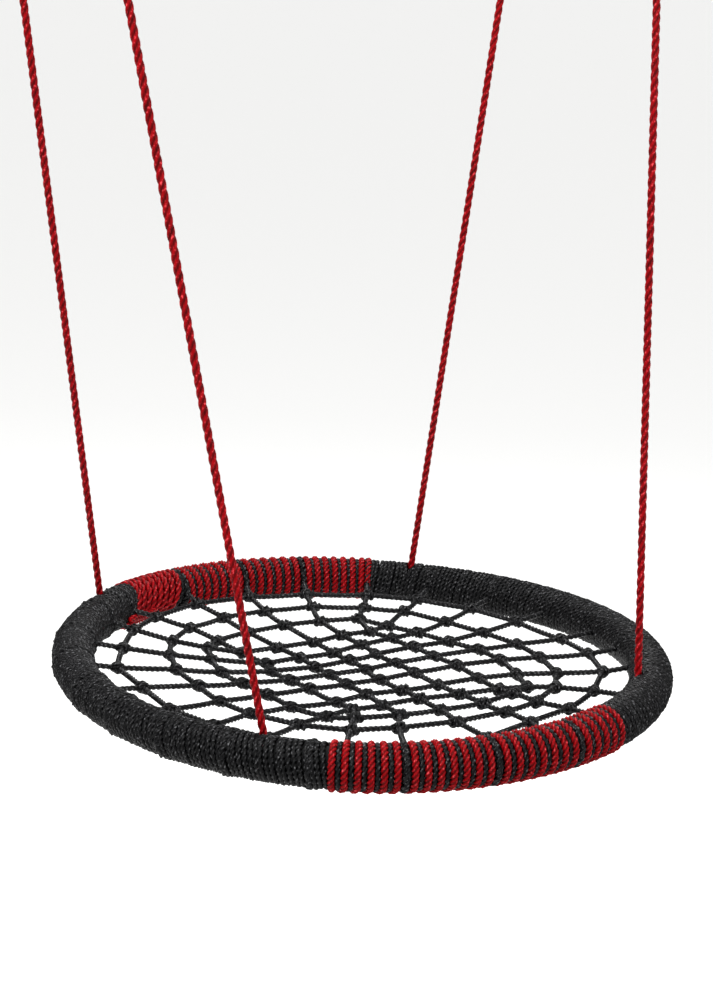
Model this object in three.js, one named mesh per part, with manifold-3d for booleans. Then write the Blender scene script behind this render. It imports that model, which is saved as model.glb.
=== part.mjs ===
// Saucer nest swing: a padded steel ring wrapped in cord, with a knotted net seat, hung by four ropes
// from two triangular links that hang in safety hooks under two beam brackets.
// Millimetres, +Z up. X runs along the swing axis, and the origin lies midway between the two
// brackets, on the face that meets the beam.
import * as THREE from "three";
import { mergeVertices } from "three/addons/utils/BufferGeometryUtils.js";
import Module from "manifold-3d";

const wasm = await Module();
wasm.setup();

// ---- Driving dimensions ----
const GAP = 0.3; // between neighbours that touch
const BRACKET_SPACING = 936; // between the two pivots, along X
const SEAT_OFFSET = 130; // the seat's centre, along X from the middle of the brackets
const SEAT_DROP = 1839; // from the beam's face down to the ring's centre line

const RING_RADIUS = 442; // centre line of the seat ring
const STEEL_RADIUS = 13.45;
const STEEL_WALL = 2;
const SPIGOT_WALL = 2.5;
const SPIGOT_DEGREES = 15;
const STEEL_JOINTS = [0, 90, 180, 270]; // where the four bent tubes meet, in degrees
const FOAM_RADIUS = 29;
const BLACK_WRAP_RADIUS = 32.5;
const RED_WRAP_RADIUS = 35.5;
const RED_FRONT = [235, 292.5]; // angles that the striped wraps cover, in degrees
const RED_BACK = [59.5, 123.5];

const ROPE_DIAMETER = 12;
// Where each rope leaves the ring: its angle round the seat, and how far outwards of the tube's top.
const ROPES = {
  back_right: { angle: 50, outwards: 0, side: 1 },
  back_left: { angle: 128.5, outwards: 16, side: -1 },
  front_left: { angle: 222.5, outwards: -15, side: -1 },
  front_right: { angle: 314.8, outwards: -14, side: 1 },
};

const NET_CORD = 8;
const NET_SAG = 20;
// The net's knots in rounds from the middle out: x and y from the seat's centre, and the knot of the
// next round inwards that a cord ties it to. A corner of the netting has no such cord.
const NET_ROUNDS = [
  [
    [7, 50], [9, 1], [6, -49],
  ],
  [
    [-62, 87], [-61, 40, 0], [-55, 1, 1], [-52, -48, 2], [-48, -102], [13, -106, 2], [74, -106],
    [71, -42, 2], [68, 9, 1], [58, 58, 0], [60, 105], [0, 89, 0],
  ],
  [
    [-140, 134], [-125, 78, 0], [-135, 44, 1], [-126, -2, 2], [-116, -47, 3], [-108, -118, 4],
    [-103, -155], [-51, -155, 4], [16, -151, 5], [81, -160, 6], [144, -168], [145, -109, 6],
    [147, -41, 7], [138, 11, 8], [131, 63, 9], [119, 112, 10], [100, 153], [51, 156, 10], [-7, 143, 11],
    [-74, 139, 0],
  ],
  [
    [-153, 194, 0], [-183, 168, 0], [-201, 119, 1], [-211, 60, 2], [-202, 5, 3], [-190, -54, 4],
    [-184, -116, 5], [-155, -174, 6], [-118, -193, 6], [-50, -205, 7], [16, -210, 8], [88, -213, 9],
    [153, -196, 10], [187, -181, 10], [205, -123, 11], [220, -55, 12], [216, 4, 13], [193, 58, 14],
    [169, 117, 15], [140, 163, 16], [112, 212, 16], [48, 225, 17], [-16, 228, 18], [-89, 217, 19],
  ],
  [
    [-172, 258, 0], [-225, 209, 1], [-256, 151, 2], [-275, 87, 3], [-273, 10, 4], [-273, -64, 5],
    [-255, -129, 6], [-213, -195, 7], [-153, -244, 8], [-83, -260, 9], [6, -270, 10], [96, -264, 11],
    [160, -247, 12], [221, -206, 13], [259, -152, 14], [279, -76, 15], [282, -6, 16], [263, 67, 17],
    [235, 139, 18], [198, 211, 19], [145, 252, 20], [67, 288, 21], [-19, 295, 22], [-98, 287, 23],
  ],
  [
    [-205, 315, 0], [-266, 267, 1], [-317, 191, 2], [-362, 108, 3], [-361, 16, 4], [-363, -85, 5],
    [-333, -169, 6], [-287, -240, 7], [-200, -316, 8], [-125, -352, 9], [2, -358, 10], [97, -324, 11],
    [182, -300, 12], [259, -252, 13], [321, -187, 14], [351, -106, 15], [353, -25, 16], [337, 81, 17],
    [302, 170, 18], [244, 247, 19], [177, 299, 20], [83, 341, 21], [-15, 359, 22], [-115, 355, 23],
  ],
];
// Where the outer round's strands are lashed to the ring, in degrees.
const NET_LASHINGS = [
  121, 134.8, 150, 163.7, 178.3, 191, 204, 217, 232, 248.1, 264, 281, 297, 312, 330.2, 343.2, 356,
  13.5, 29.4, 45, 59.7, 75, 89.5, 106,
];
const LASHING_RADIUS = RED_WRAP_RADIUS + 1; // inside the turns
const LASHING_THICKNESS = 2.4;
const LASHING_WIDTH = 9;

const LINK_WIRE = 12;
const LINK_CORNER = 22; // centre line radius of a triangular link's lower corners
const LINK_HALF = 124; // from the link's middle to the centre of each lower corner
const LINK_HEIGHT = 104; // from the hook's bowl down to the centres of the lower corners
const LINK_STEPS = 6; // straight steps in each corner
const THIMBLE_HOLE = 10;
const THIMBLE_GROOVE = 12;
const THIMBLE_WIDTH = 13;
const EYE_RADIUS = THIMBLE_GROOVE + GAP + ROPE_DIAMETER / 2;
const FERRULE_LENGTH = 42;
const FERRULE_WALL = 3.5;

const PLATE = { length: 160, width: 60, thickness: 6, holeSpacing: 120, holeRadius: 5.5 };
const CHEEK_THICKNESS = 5;
const PIVOT_DEPTH = 24; // from the beam's face down to the pivot
const BOLT_RADIUS = 6;
const BUSH_RADIUS = 9.5;
const BARREL = { radius: 14, length: 26 };
const HOOK_WIRE = 12;
const HOOK_BOWL = 22; // radius of the bowl's centre line
const HOOK_REACH = 75; // from the pivot down to the bowl's centre
const LATCH = { x: 8, z: 46, eye: 5, pin: 2, width: 6, thickness: 3 };

const RING_STEPS = 30; // straight steps round the seat ring
const TUBE_SIDES = 8;

// ---- Places worked out from the dimensions ----
const LINK_DROP = PIVOT_DEPTH + HOOK_REACH + HOOK_BOWL; // down to the axis that a link rocks on
const sideX = (side) => (side * BRACKET_SPACING) / 2;
const radians = THREE.MathUtils.degToRad;

const steel = () => new THREE.MeshStandardMaterial({ color: 0xb4b8bb, roughness: 0.38, metalness: 1 });
const nylon = () => new THREE.MeshStandardMaterial({ color: 0x1b1b1c, roughness: 0.5 });
const foam = () => new THREE.MeshStandardMaterial({ color: 0x2b2c2e, roughness: 0.95 });
const blackCord = () => new THREE.MeshStandardMaterial({ color: 0x1d1d1f, roughness: 0.6 });
const redRope = () => new THREE.MeshStandardMaterial({ color: 0xa80f14, roughness: 0.55 });

const swing = new THREE.Group();

// ---- Solids ----
function toSolid(geometry) {
  const bare = geometry.index ? geometry.toNonIndexed() : geometry.clone();
  bare.deleteAttribute("normal");
  bare.deleteAttribute("uv");
  const merged = mergeVertices(bare, 1e-2);
  return new wasm.Manifold(
    new wasm.Mesh({
      numProp: 3,
      vertProperties: merged.attributes.position.array,
      triVerts: new Uint32Array(merged.index.array),
    }),
  );
}

function toGeometry(solid) {
  const mesh = solid.getMesh();
  const geometry = new THREE.BufferGeometry();
  geometry.setAttribute("position", new THREE.BufferAttribute(mesh.vertProperties, 3));
  geometry.setIndex(new THREE.BufferAttribute(mesh.triVerts, 1));
  geometry.computeVertexNormals();
  return geometry;
}

const join = (geometries) => toGeometry(geometries.map(toSolid).reduce((a, b) => a.add(b)));
const cut = (body, tools) =>
  toGeometry(tools.map(toSolid).reduce((a, b) => a.subtract(b), toSolid(body)));

function addMesh(name, geometry, material, parent = swing) {
  const mesh = new THREE.Mesh(geometry, material);
  mesh.name = name;
  parent.add(mesh);
  return mesh;
}

function polygon(radius, sides, start = Math.PI / sides) {
  return Array.from({ length: sides }, (_, k) => {
    const a = start + (2 * Math.PI * k) / sides;
    return new THREE.Vector2(radius * Math.cos(a), radius * Math.sin(a));
  });
}

function section(outer, inner, sides) {
  const shape = new THREE.Shape(polygon(outer, sides));
  if (inner > 0) shape.holes.push(new THREE.Path(polygon(inner, sides)));
  return shape;
}

// A pie slice from the seat's axis that reaches past the ring, to cut one stretch out of a full ring.
function sector(from, to) {
  const parts = Math.ceil((to - from) / 45);
  const points = [new THREE.Vector2(0, 0)];
  for (let k = 0; k <= parts; k++) {
    const a = radians(from + ((to - from) * k) / parts);
    points.push(new THREE.Vector2(Math.cos(a), Math.sin(a)).multiplyScalar(1.5 * RING_RADIUS));
  }
  const depth = 4 * RED_WRAP_RADIUS;
  const geometry = new THREE.ExtrudeGeometry(new THREE.Shape(points), { depth, bevelEnabled: false });
  geometry.translate(0, 0, -depth / 2);
  return geometry;
}

// A full round of the seat ring, solid through its section.
function fullRing(radius) {
  const profile = polygon(radius, TUBE_SIDES).map((p) => p.add(new THREE.Vector2(RING_RADIUS, 0)));
  profile.push(profile[0].clone());
  const geometry = new THREE.LatheGeometry(profile, RING_STEPS);
  geometry.rotateX(Math.PI / 2);
  geometry.rotateZ(Math.PI / 2);
  return geometry;
}

// A length of tube bent to the seat ring's curve. Every layer shares the ring's straight steps.
function bentTube(outer, inner, from, to) {
  const stretch = toSolid(fullRing(outer)).intersect(toSolid(sector(from, to)));
  return toGeometry(stretch.subtract(toSolid(fullRing(inner))));
}

function rod(radius, from, to, sides = 8) {
  const length = from.distanceTo(to);
  const geometry = new THREE.CylinderGeometry(radius, radius, length, sides);
  const turn = new THREE.Quaternion().setFromUnitVectors(
    new THREE.Vector3(0, 1, 0),
    to.clone().sub(from).normalize(),
  );
  geometry.applyQuaternion(turn);
  geometry.translate(...from.clone().add(to).divideScalar(2).toArray());
  return geometry;
}

// A round of wire or rope about an axis.
function hoop(centre, axis, radius, wire, around = 12, sides = 6) {
  const geometry = new THREE.TorusGeometry(radius, wire / 2, sides, around);
  geometry.applyQuaternion(
    new THREE.Quaternion().setFromUnitVectors(new THREE.Vector3(0, 0, 1), axis),
  );
  geometry.translate(centre.x, centre.y, centre.z);
  return geometry;
}

// A part that a bore runs through along its own axis, from -length/2 to +length/2 on X.
function sleeve(outer, inner, length, sides = 12) {
  const geometry = new THREE.ExtrudeGeometry(section(outer, inner, sides), {
    depth: length,
    bevelEnabled: false,
  });
  geometry.translate(0, 0, -length / 2);
  geometry.rotateY(Math.PI / 2);
  return geometry;
}

// ---- Seat ring ----
const seat = new THREE.Group();
seat.position.set(SEAT_OFFSET, 0, -SEAT_DROP);
swing.add(seat);

const ropeAngles = Object.values(ROPES).map((rope) => rope.angle);
const GAP_DEGREES = THREE.MathUtils.radToDeg(GAP / RING_RADIUS);
const NOOSE_DEGREES = THREE.MathUtils.radToDeg((ROPE_DIAMETER / 2 + 1) / RING_RADIUS);

// The ring's centre line runs in straight steps, so its radius changes a little with the angle.
function centreLineRadius(angle) {
  const step = 360 / RING_STEPS;
  const fromMiddle = (((angle % step) + step) % step) - step / 2;
  return (RING_RADIUS * Math.cos(radians(step / 2))) / Math.cos(radians(fromMiddle));
}

function radialPoint(angle, outwards, height) {
  const a = radians(angle);
  const r = centreLineRadius(angle) + outwards;
  return new THREE.Vector3(r * Math.cos(a), r * Math.sin(a), height);
}

function jointScrew(angle, clearance = 0) {
  const past = clearance ? 2 : 0;
  return rod(
    3 + clearance,
    radialPoint(angle, 0, -STEEL_RADIUS + 1.6 - past),
    radialPoint(angle, 0, -STEEL_RADIUS + STEEL_WALL + SPIGOT_WALL + 1.5 + past),
    8,
  );
}

// Four bent tubes plug together on spigots, and one screw holds each plugged end.
const spigotRadius = STEEL_RADIUS - STEEL_WALL - GAP;
STEEL_JOINTS.forEach((from, k) => {
  const to = from + 90;
  const screwAngle = from + SPIGOT_DEGREES / 4;
  const tube = bentTube(
    STEEL_RADIUS,
    STEEL_RADIUS - STEEL_WALL,
    from + GAP_DEGREES,
    to - GAP_DEGREES,
  );
  addMesh(`ring_tube_${k + 1}`, cut(tube, [jointScrew(screwAngle, GAP)]), steel(), seat);
  const spigot = bentTube(
    spigotRadius,
    spigotRadius - SPIGOT_WALL,
    from - SPIGOT_DEGREES / 2,
    from + SPIGOT_DEGREES / 2,
  );
  addMesh(`ring_spigot_${k + 1}`, cut(spigot, [jointScrew(screwAngle, GAP)]), steel(), seat);
  addMesh(`ring_joint_screw_${k + 1}`, jointScrew(screwAngle), steel(), seat);
});

// ---- Ropes ----
const nooseRadius = STEEL_RADIUS + 4 * GAP + ROPE_DIAMETER / 2;

// The points and directions that a rope is built on, in the swing's own frame.
function ropeLine(rope) {
  const climb = Math.sqrt(nooseRadius ** 2 - rope.outwards ** 2);
  const foot = radialPoint(rope.angle, rope.outwards, climb).add(seat.position);
  const corner = new THREE.Vector3(
    sideX(rope.side),
    LINK_HALF * Math.sign(foot.y),
    -LINK_DROP - LINK_HEIGHT,
  );
  const spread = Math.atan2(foot.y - corner.y, corner.z - foot.z);
  const wire = new THREE.Vector3(0, LINK_CORNER * Math.sin(spread), -LINK_CORNER * Math.cos(spread));
  const head = corner.clone().add(wire);
  const down = foot.clone().sub(head).normalize();
  const slack = THIMBLE_HOLE - LINK_WIRE / 2 - 8 * GAP;
  const eye = head.clone().addScaledVector(down, slack);
  const tangent = new THREE.Vector3(0, Math.cos(spread), Math.sin(spread));
  const normal = tangent.addScaledVector(down, -tangent.dot(down)).normalize();
  return { foot, down, eye, normal };
}

// A noose round the steel tube, the straight rope, and an eye round its thimble.
function ropeGeometry(rope) {
  const { foot, down, eye, normal } = ropeLine(rope);
  const a = radians(rope.angle);
  const centre = radialPoint(rope.angle, 0, 0).add(seat.position);
  const around = new THREE.Vector3(-Math.sin(a), Math.cos(a), 0);
  const top = eye.clone().addScaledVector(down, EYE_RADIUS);
  return join([
    hoop(centre, around, nooseRadius, ROPE_DIAMETER, 12, 8),
    rod(ROPE_DIAMETER / 2, foot, top, 8),
    hoop(eye, normal, EYE_RADIUS, ROPE_DIAMETER, 12, 8),
  ]);
}

function thimbleGeometry(rope) {
  const { eye, normal } = ropeLine(rope);
  const half = THIMBLE_WIDTH / 2;
  const profile = [
    [THIMBLE_HOLE, -half],
    [THIMBLE_GROOVE + 1.8, -half],
    [THIMBLE_GROOVE + 1.8, -half + 0.8],
    [THIMBLE_GROOVE - 1.2, 0],
    [THIMBLE_GROOVE + 1.8, half - 0.8],
    [THIMBLE_GROOVE + 1.8, half],
    [THIMBLE_HOLE, half],
    [THIMBLE_HOLE, -half],
  ].map(([x, y]) => new THREE.Vector2(x, y));
  const geometry = new THREE.LatheGeometry(profile, 16);
  geometry.applyQuaternion(
    new THREE.Quaternion().setFromUnitVectors(new THREE.Vector3(0, 1, 0), normal),
  );
  geometry.translate(eye.x, eye.y, eye.z);
  return geometry;
}

function ferruleGeometry(rope) {
  const { down, eye } = ropeLine(rope);
  const inner = ROPE_DIAMETER / 2 + 2 * GAP;
  const geometry = sleeve(inner + FERRULE_WALL, inner, FERRULE_LENGTH, 12);
  geometry.applyQuaternion(
    new THREE.Quaternion().setFromUnitVectors(new THREE.Vector3(1, 0, 0), down),
  );
  const middle = eye.clone().addScaledVector(
    down,
    EYE_RADIUS + ROPE_DIAMETER / 2 + FERRULE_LENGTH / 2 + 2,
  );
  geometry.translate(middle.x, middle.y, middle.z);
  return geometry;
}

for (const [place, rope] of Object.entries(ROPES)) {
  addMesh(`rope_${place}`, ropeGeometry(rope), redRope());
  addMesh(`thimble_${place}`, thimbleGeometry(rope), steel());
  addMesh(`ferrule_${place}`, ferruleGeometry(rope), steel());
}

// ---- Foam and cord wraps ----
// Each rope leaves through the foam and the wrap, so both have a hole there.
function ropeHole(rope) {
  const { foot, down } = ropeLine(rope);
  const start = foot.clone().sub(seat.position);
  return rod(
    ROPE_DIAMETER / 2 + 2 * GAP,
    start.clone().addScaledVector(down, 3),
    start.clone().addScaledVector(down, -30),
    8,
  );
}

const ropeHoles = Object.values(ROPES).map(ropeHole);

// A foam sleeve covers each stretch between two rope nooses.
ropeAngles.forEach((angle, k) => {
  const next = k + 1 < ropeAngles.length ? ropeAngles[k + 1] : ropeAngles[0] + 360;
  const padding = bentTube(
    FOAM_RADIUS,
    STEEL_RADIUS + GAP,
    angle + NOOSE_DEGREES,
    next - NOOSE_DEGREES,
  );
  addMesh(`foam_sleeve_${k + 1}`, cut(padding, ropeHoles), foam(), seat);
});

function wrap(name, radius, from, to, material) {
  const body = bentTube(radius, FOAM_RADIUS + GAP, from + GAP_DEGREES, to - GAP_DEGREES);
  addMesh(name, cut(body, ropeHoles), material, seat);
}

wrap("wrap_striped_front", RED_WRAP_RADIUS, RED_FRONT[0], RED_FRONT[1], redRope());
wrap("wrap_striped_back", RED_WRAP_RADIUS, RED_BACK[0], RED_BACK[1], redRope());
wrap("wrap_black_left", BLACK_WRAP_RADIUS, RED_BACK[1], RED_FRONT[0], blackCord());
wrap("wrap_black_right", BLACK_WRAP_RADIUS, RED_FRONT[1] - 360, RED_BACK[0], blackCord());

// ---- Net ----
const knotPoint = ([x, y]) => new THREE.Vector2(x, y);

// The knots from one to another: forwards round a closed round, or straight along the middle one.
function pathAlong(round, from, to) {
  const closed = round !== NET_ROUNDS[0];
  const hops = closed ? (to - from + round.length) % round.length : Math.abs(to - from);
  const step = closed ? 1 : Math.sign(to - from);
  return Array.from({ length: hops + 1 }, (_, k) =>
    knotPoint(round[(from + k * step) % round.length]),
  );
}

// The open cells between two rounds, each bounded by two cords that tie one round to the other.
function cellsBetween(inner, outer) {
  const tied = outer.flatMap((knot, k) => (knot.length === 3 ? [k] : []));
  return tied.map((from, k) => {
    const to = tied[(k + 1) % tied.length];
    const back = pathAlong(inner, outer[from][2], outer[to][2]).reverse();
    return [...pathAlong(outer, from, to), ...back];
  });
}

// A cell's outline moved inwards by half the width of the cords round it.
function inset(corners, distance) {
  const turned = [...corners];
  if (THREE.ShapeUtils.area(turned) < 0) turned.reverse();
  const lines = turned.map((p, k) => {
    const q = turned[(k + 1) % turned.length];
    const along = q.clone().sub(p).normalize();
    const inwards = new THREE.Vector2(-along.y, along.x);
    return { p: p.clone().addScaledVector(inwards, distance), along };
  });
  return lines.map((line, k) => {
    const last = lines[(k + lines.length - 1) % lines.length];
    const cross = last.along.cross(line.along);
    const t = line.p.clone().sub(last.p).cross(line.along) / cross;
    return last.p.clone().addScaledVector(last.along, t);
  });
}

// How low the net hangs at a distance from the middle.
const sagAt = (r) => -NET_SAG * Math.max(0, 1 - (r / (RING_RADIUS - RED_WRAP_RADIUS)) ** 2);

function netSheet() {
  const cells = NET_ROUNDS.slice(1).flatMap((outer, k) => cellsBetween(NET_ROUNDS[k], outer));
  const sheet = new THREE.Shape(inset(NET_ROUNDS.at(-1).map(knotPoint), -NET_CORD / 2));
  for (const cell of cells) sheet.holes.push(new THREE.Path(inset(cell, NET_CORD / 2)));
  const geometry = new THREE.ExtrudeGeometry(sheet, { depth: NET_CORD, bevelEnabled: false });
  const position = geometry.attributes.position;
  for (let k = 0; k < position.count; k++) {
    const r = Math.hypot(position.getX(k), position.getY(k));
    position.setZ(k, position.getZ(k) - NET_CORD / 2 + sagAt(r));
  }
  return geometry;
}

// The flat turns that hold one strand's end round the wrapped ring.
function lashing(angle) {
  const shape = section(LASHING_RADIUS + LASHING_THICKNESS, LASHING_RADIUS, TUBE_SIDES);
  const geometry = new THREE.ExtrudeGeometry(shape, { depth: LASHING_WIDTH, bevelEnabled: false });
  geometry.translate(0, 0, -LASHING_WIDTH / 2);
  geometry.rotateX(Math.PI / 2);
  geometry.translate(centreLineRadius(angle), 0, 0);
  geometry.rotateZ(radians(angle));
  return geometry;
}

function netGeometry() {
  const pieces = [netSheet()];
  const reach = (LASHING_RADIUS + 0.8 * LASHING_THICKNESS) * Math.cos(Math.PI / TUBE_SIDES);
  NET_ROUNDS.at(-1).forEach((knot, k) => {
    const angle = NET_LASHINGS[k];
    const start = knotPoint(knot);
    const height = sagAt(start.length());
    pieces.push(
      rod(
        NET_CORD / 2,
        new THREE.Vector3(start.x, start.y, height),
        radialPoint(angle, -reach, 0),
        6,
      ),
      lashing(angle),
    );
  });
  return join(pieces);
}

addMesh("seat_net", netGeometry(), blackCord(), seat);

// ---- Brackets, hooks and links ----
function bracketGeometry() {
  const plate = new THREE.Shape([
    new THREE.Vector2(-PLATE.length / 2, -PLATE.width / 2),
    new THREE.Vector2(PLATE.length / 2, -PLATE.width / 2),
    new THREE.Vector2(PLATE.length / 2, PLATE.width / 2),
    new THREE.Vector2(-PLATE.length / 2, PLATE.width / 2),
  ]);
  for (const x of [-PLATE.holeSpacing / 2, PLATE.holeSpacing / 2])
    plate.holes.push(
      new THREE.Path(polygon(PLATE.holeRadius, 24).map((p) => p.add(new THREE.Vector2(x, 0)))),
    );
  const base = new THREE.ExtrudeGeometry(plate, { depth: PLATE.thickness, bevelEnabled: false });
  base.translate(0, 0, -PLATE.thickness);
  const top = 1 - PLATE.thickness; // the cheeks reach 1 mm up into the plate
  const boltHeight = -PIVOT_DEPTH - top;
  const cheeks = [-1, 1].map((side) => {
    const shape = new THREE.Shape();
    shape.moveTo(-22, 0);
    shape.lineTo(22, 0);
    shape.lineTo(14, boltHeight);
    shape.absarc(0, boltHeight, 14, 0, -Math.PI, true);
    const hole = polygon(BOLT_RADIUS + GAP, 12).map((p) => p.add(new THREE.Vector2(0, boltHeight)));
    shape.holes.push(new THREE.Path(hole));
    const cheek = new THREE.ExtrudeGeometry(shape, {
      depth: CHEEK_THICKNESS,
      bevelEnabled: false,
      curveSegments: 6,
    });
    cheek.rotateX(Math.PI / 2);
    cheek.rotateZ(Math.PI / 2);
    const middle = side * (BARREL.length / 2 + GAP + CHEEK_THICKNESS / 2);
    cheek.translate(middle - CHEEK_THICKNESS / 2, 0, top);
    return cheek;
  });
  return join([base, ...cheeks]);
}

const boltHalf = BARREL.length / 2 + GAP + CHEEK_THICKNESS;

function pivotBoltGeometry() {
  const head = new THREE.CylinderGeometry(10.5, 10.5, 7.5, 6);
  head.rotateZ(Math.PI / 2);
  head.translate(-boltHalf - GAP - 3.75, 0, 0);
  const shank = rod(
    BOLT_RADIUS,
    new THREE.Vector3(-boltHalf - GAP - 1, 0, 0),
    new THREE.Vector3(boltHalf + 14, 0, 0),
    12,
  );
  return join([head, shank]);
}

function pivotNutGeometry() {
  const nut = sleeve(10.5, 0, 10, 6);
  const bore = sleeve(BOLT_RADIUS + GAP, 0, 12, 12);
  return cut(nut, [bore]);
}

// The hook's centre line, in X and Z about the middle of its bowl.
function hookCurve() {
  const bowl = [180, 225, 270, 315, 360].map((degrees) => [
    HOOK_BOWL * Math.cos(radians(degrees)),
    HOOK_BOWL * Math.sin(radians(degrees)),
  ]);
  const points = [[0, 64], [0, 54], [-13, 40], [-21, 22], ...bowl, [22, 12]];
  return new THREE.CatmullRomCurve3(points.map(([x, z]) => new THREE.Vector3(x, 0, z)));
}

function hookGeometry() {
  const body = new THREE.ExtrudeGeometry(section(HOOK_WIRE / 2, 0, 8), {
    steps: 18,
    bevelEnabled: false,
    extrudePath: hookCurve(),
  });
  body.translate(0, 0, -HOOK_REACH);
  const barrel = sleeve(BARREL.radius, 0, BARREL.length, 12);
  const boreRadius = (BUSH_RADIUS + GAP) / Math.cos(Math.PI / 12); // clear of the bush at any angle
  const bore = sleeve(boreRadius, 0, BARREL.length + 4, 12);
  const lugs = [-1, 1].map((side) => {
    const lug = new THREE.BoxGeometry(16, 2.5, 11);
    lug.translate(LATCH.x - 4, side * (LATCH.width / 2 + GAP + 1.25), LATCH.z - HOOK_REACH);
    return lug;
  });
  const room = new THREE.BoxGeometry(14, LATCH.width + 2 * GAP, 14);
  room.translate(LATCH.x + 1, 0, LATCH.z - HOOK_REACH);
  const pin = latchPinGeometry(GAP);
  return cut(join([body, barrel, ...lugs]), [bore, room, pin]);
}

function latchPinGeometry(grow = 0) {
  const half = LATCH.width / 2 + GAP + 2.5 + 1 + grow;
  return rod(
    LATCH.pin + grow,
    new THREE.Vector3(LATCH.x, -half, LATCH.z - HOOK_REACH),
    new THREE.Vector3(LATCH.x, half, LATCH.z - HOOK_REACH),
    8,
  );
}

// The latch runs from its pin to the inner side of the hook's tip.
function latchGeometry() {
  const end = { x: HOOK_BOWL - HOOK_WIRE / 2 - GAP - LATCH.thickness / 2 - 0.3, z: 7 };
  const length = Math.hypot(end.x - LATCH.x, LATCH.z - end.z);
  const blade = new THREE.BoxGeometry(LATCH.thickness, LATCH.width, length);
  blade.translate(0, 0, -length / 2);
  blade.rotateY(-Math.atan2(end.x - LATCH.x, LATCH.z - end.z));
  const eye = rod(
    LATCH.eye,
    new THREE.Vector3(0, -LATCH.width / 2, 0),
    new THREE.Vector3(0, LATCH.width / 2, 0),
    10,
  );
  const bore = rod(
    LATCH.pin + GAP,
    new THREE.Vector3(0, -LATCH.width, 0),
    new THREE.Vector3(0, LATCH.width, 0),
    8,
  );
  const latch = cut(join([blade, eye]), [bore]);
  latch.translate(LATCH.x, 0, LATCH.z - HOOK_REACH);
  return latch;
}

// A round bar bent to a triangle in the YZ plane. Its upper corner turns about the hook's bowl.
function linkGeometry() {
  const apex = LINK_WIRE + 4 * GAP; // centre line radius of the upper corner
  const slope = Math.atan2(LINK_HEIGHT, LINK_HALF);
  const lean = Math.asin((LINK_CORNER - apex) / Math.hypot(LINK_HALF, LINK_HEIGHT));
  const arm = Math.PI / 2 - slope + lean; // an arm's outward direction, above the horizontal
  const turn = Math.PI / 2;
  const corners = [
    { x: LINK_HALF, y: -LINK_HEIGHT, radius: LINK_CORNER, from: -turn, to: arm },
    { x: 0, y: 0, radius: apex, from: arm, to: 2 * turn - arm },
    { x: -LINK_HALF, y: -LINK_HEIGHT, radius: LINK_CORNER, from: 2 * turn - arm, to: 3 * turn },
  ];
  const outline = (grow) =>
    corners.flatMap(({ x, y, radius, from, to }) =>
      Array.from({ length: LINK_STEPS + 1 }, (_, k) => {
        const a = from + ((to - from) * k) / LINK_STEPS;
        const r = radius + grow;
        return new THREE.Vector2(x + r * Math.cos(a), y + r * Math.sin(a));
      }),
    );
  const half = (LINK_WIRE / 2) * Math.tan(Math.PI / 8); // half of one face of the eight-sided bar
  const bevel = LINK_WIRE / 2 - half;
  const shape = new THREE.Shape(outline(half));
  shape.holes.push(new THREE.Path(outline(-half)));
  const geometry = new THREE.ExtrudeGeometry(shape, {
    depth: 2 * half,
    bevelThickness: bevel,
    bevelSize: bevel,
    bevelSegments: 1,
  });
  geometry.translate(0, 0, -half);
  geometry.rotateX(Math.PI / 2);
  geometry.rotateZ(Math.PI / 2);
  return geometry;
}

for (const [place, side] of [["left", -1], ["right", 1]]) {
  const bracket = new THREE.Group();
  bracket.position.set(sideX(side), 0, 0);
  swing.add(bracket);
  addMesh(`beam_bracket_${place}`, bracketGeometry(), steel(), bracket);
  const pivot = new THREE.Group();
  pivot.position.set(0, 0, -PIVOT_DEPTH);
  bracket.add(pivot);
  addMesh(`pivot_bolt_${place}`, pivotBoltGeometry(), steel(), pivot);
  const nut = addMesh(`pivot_nut_${place}`, pivotNutGeometry(), steel(), pivot);
  nut.position.x = boltHalf + GAP + 5;
  const bush = sleeve(BUSH_RADIUS, BOLT_RADIUS + GAP, BARREL.length, 12);
  addMesh(`pivot_bush_${place}`, bush, nylon(), pivot);
  addMesh(`safety_hook_${place}`, hookGeometry(), steel(), pivot);
  addMesh(`latch_pin_${place}`, latchPinGeometry(), steel(), pivot);
  addMesh(`hook_latch_${place}`, latchGeometry(), steel(), pivot);
  const link = addMesh(`triangle_link_${place}`, linkGeometry(), steel());
  link.position.set(sideX(side), 0, -LINK_DROP);
}

export default swing;
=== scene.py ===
import math

import bmesh
import bpy
import numpy as np
from mathutils import Matrix, Vector


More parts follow.
